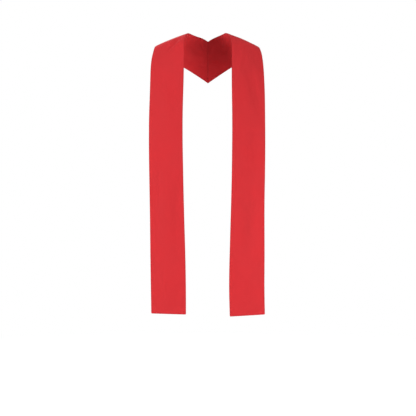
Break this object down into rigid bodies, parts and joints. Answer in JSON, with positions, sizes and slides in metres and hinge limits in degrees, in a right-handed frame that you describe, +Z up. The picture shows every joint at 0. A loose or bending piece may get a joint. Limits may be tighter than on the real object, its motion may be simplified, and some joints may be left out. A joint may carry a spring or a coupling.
{
  "type": "clerical stole",
  "caption": "Long plain red stole worn open: straight lined bands hang down the front from the shoulders and meet in a mitred seam at the nape.",
  "frame": {"origin": "the nape: the point of the V where the neck edges meet at the centre-back seam, on the outer face of the cloth", "axes": "+Z up, the wearer faces -Y, and the wearer's left is at +X"},
  "size_m": [0.4594, 0.234, 1.1256],
  "materials": {
    "stole_cloth": "matt, fine plain weave"
  },
  "bodies": {
    "root": {"right_half": "stole_cloth", "left_half": "stole_cloth"}
  },
  "joints": []
}
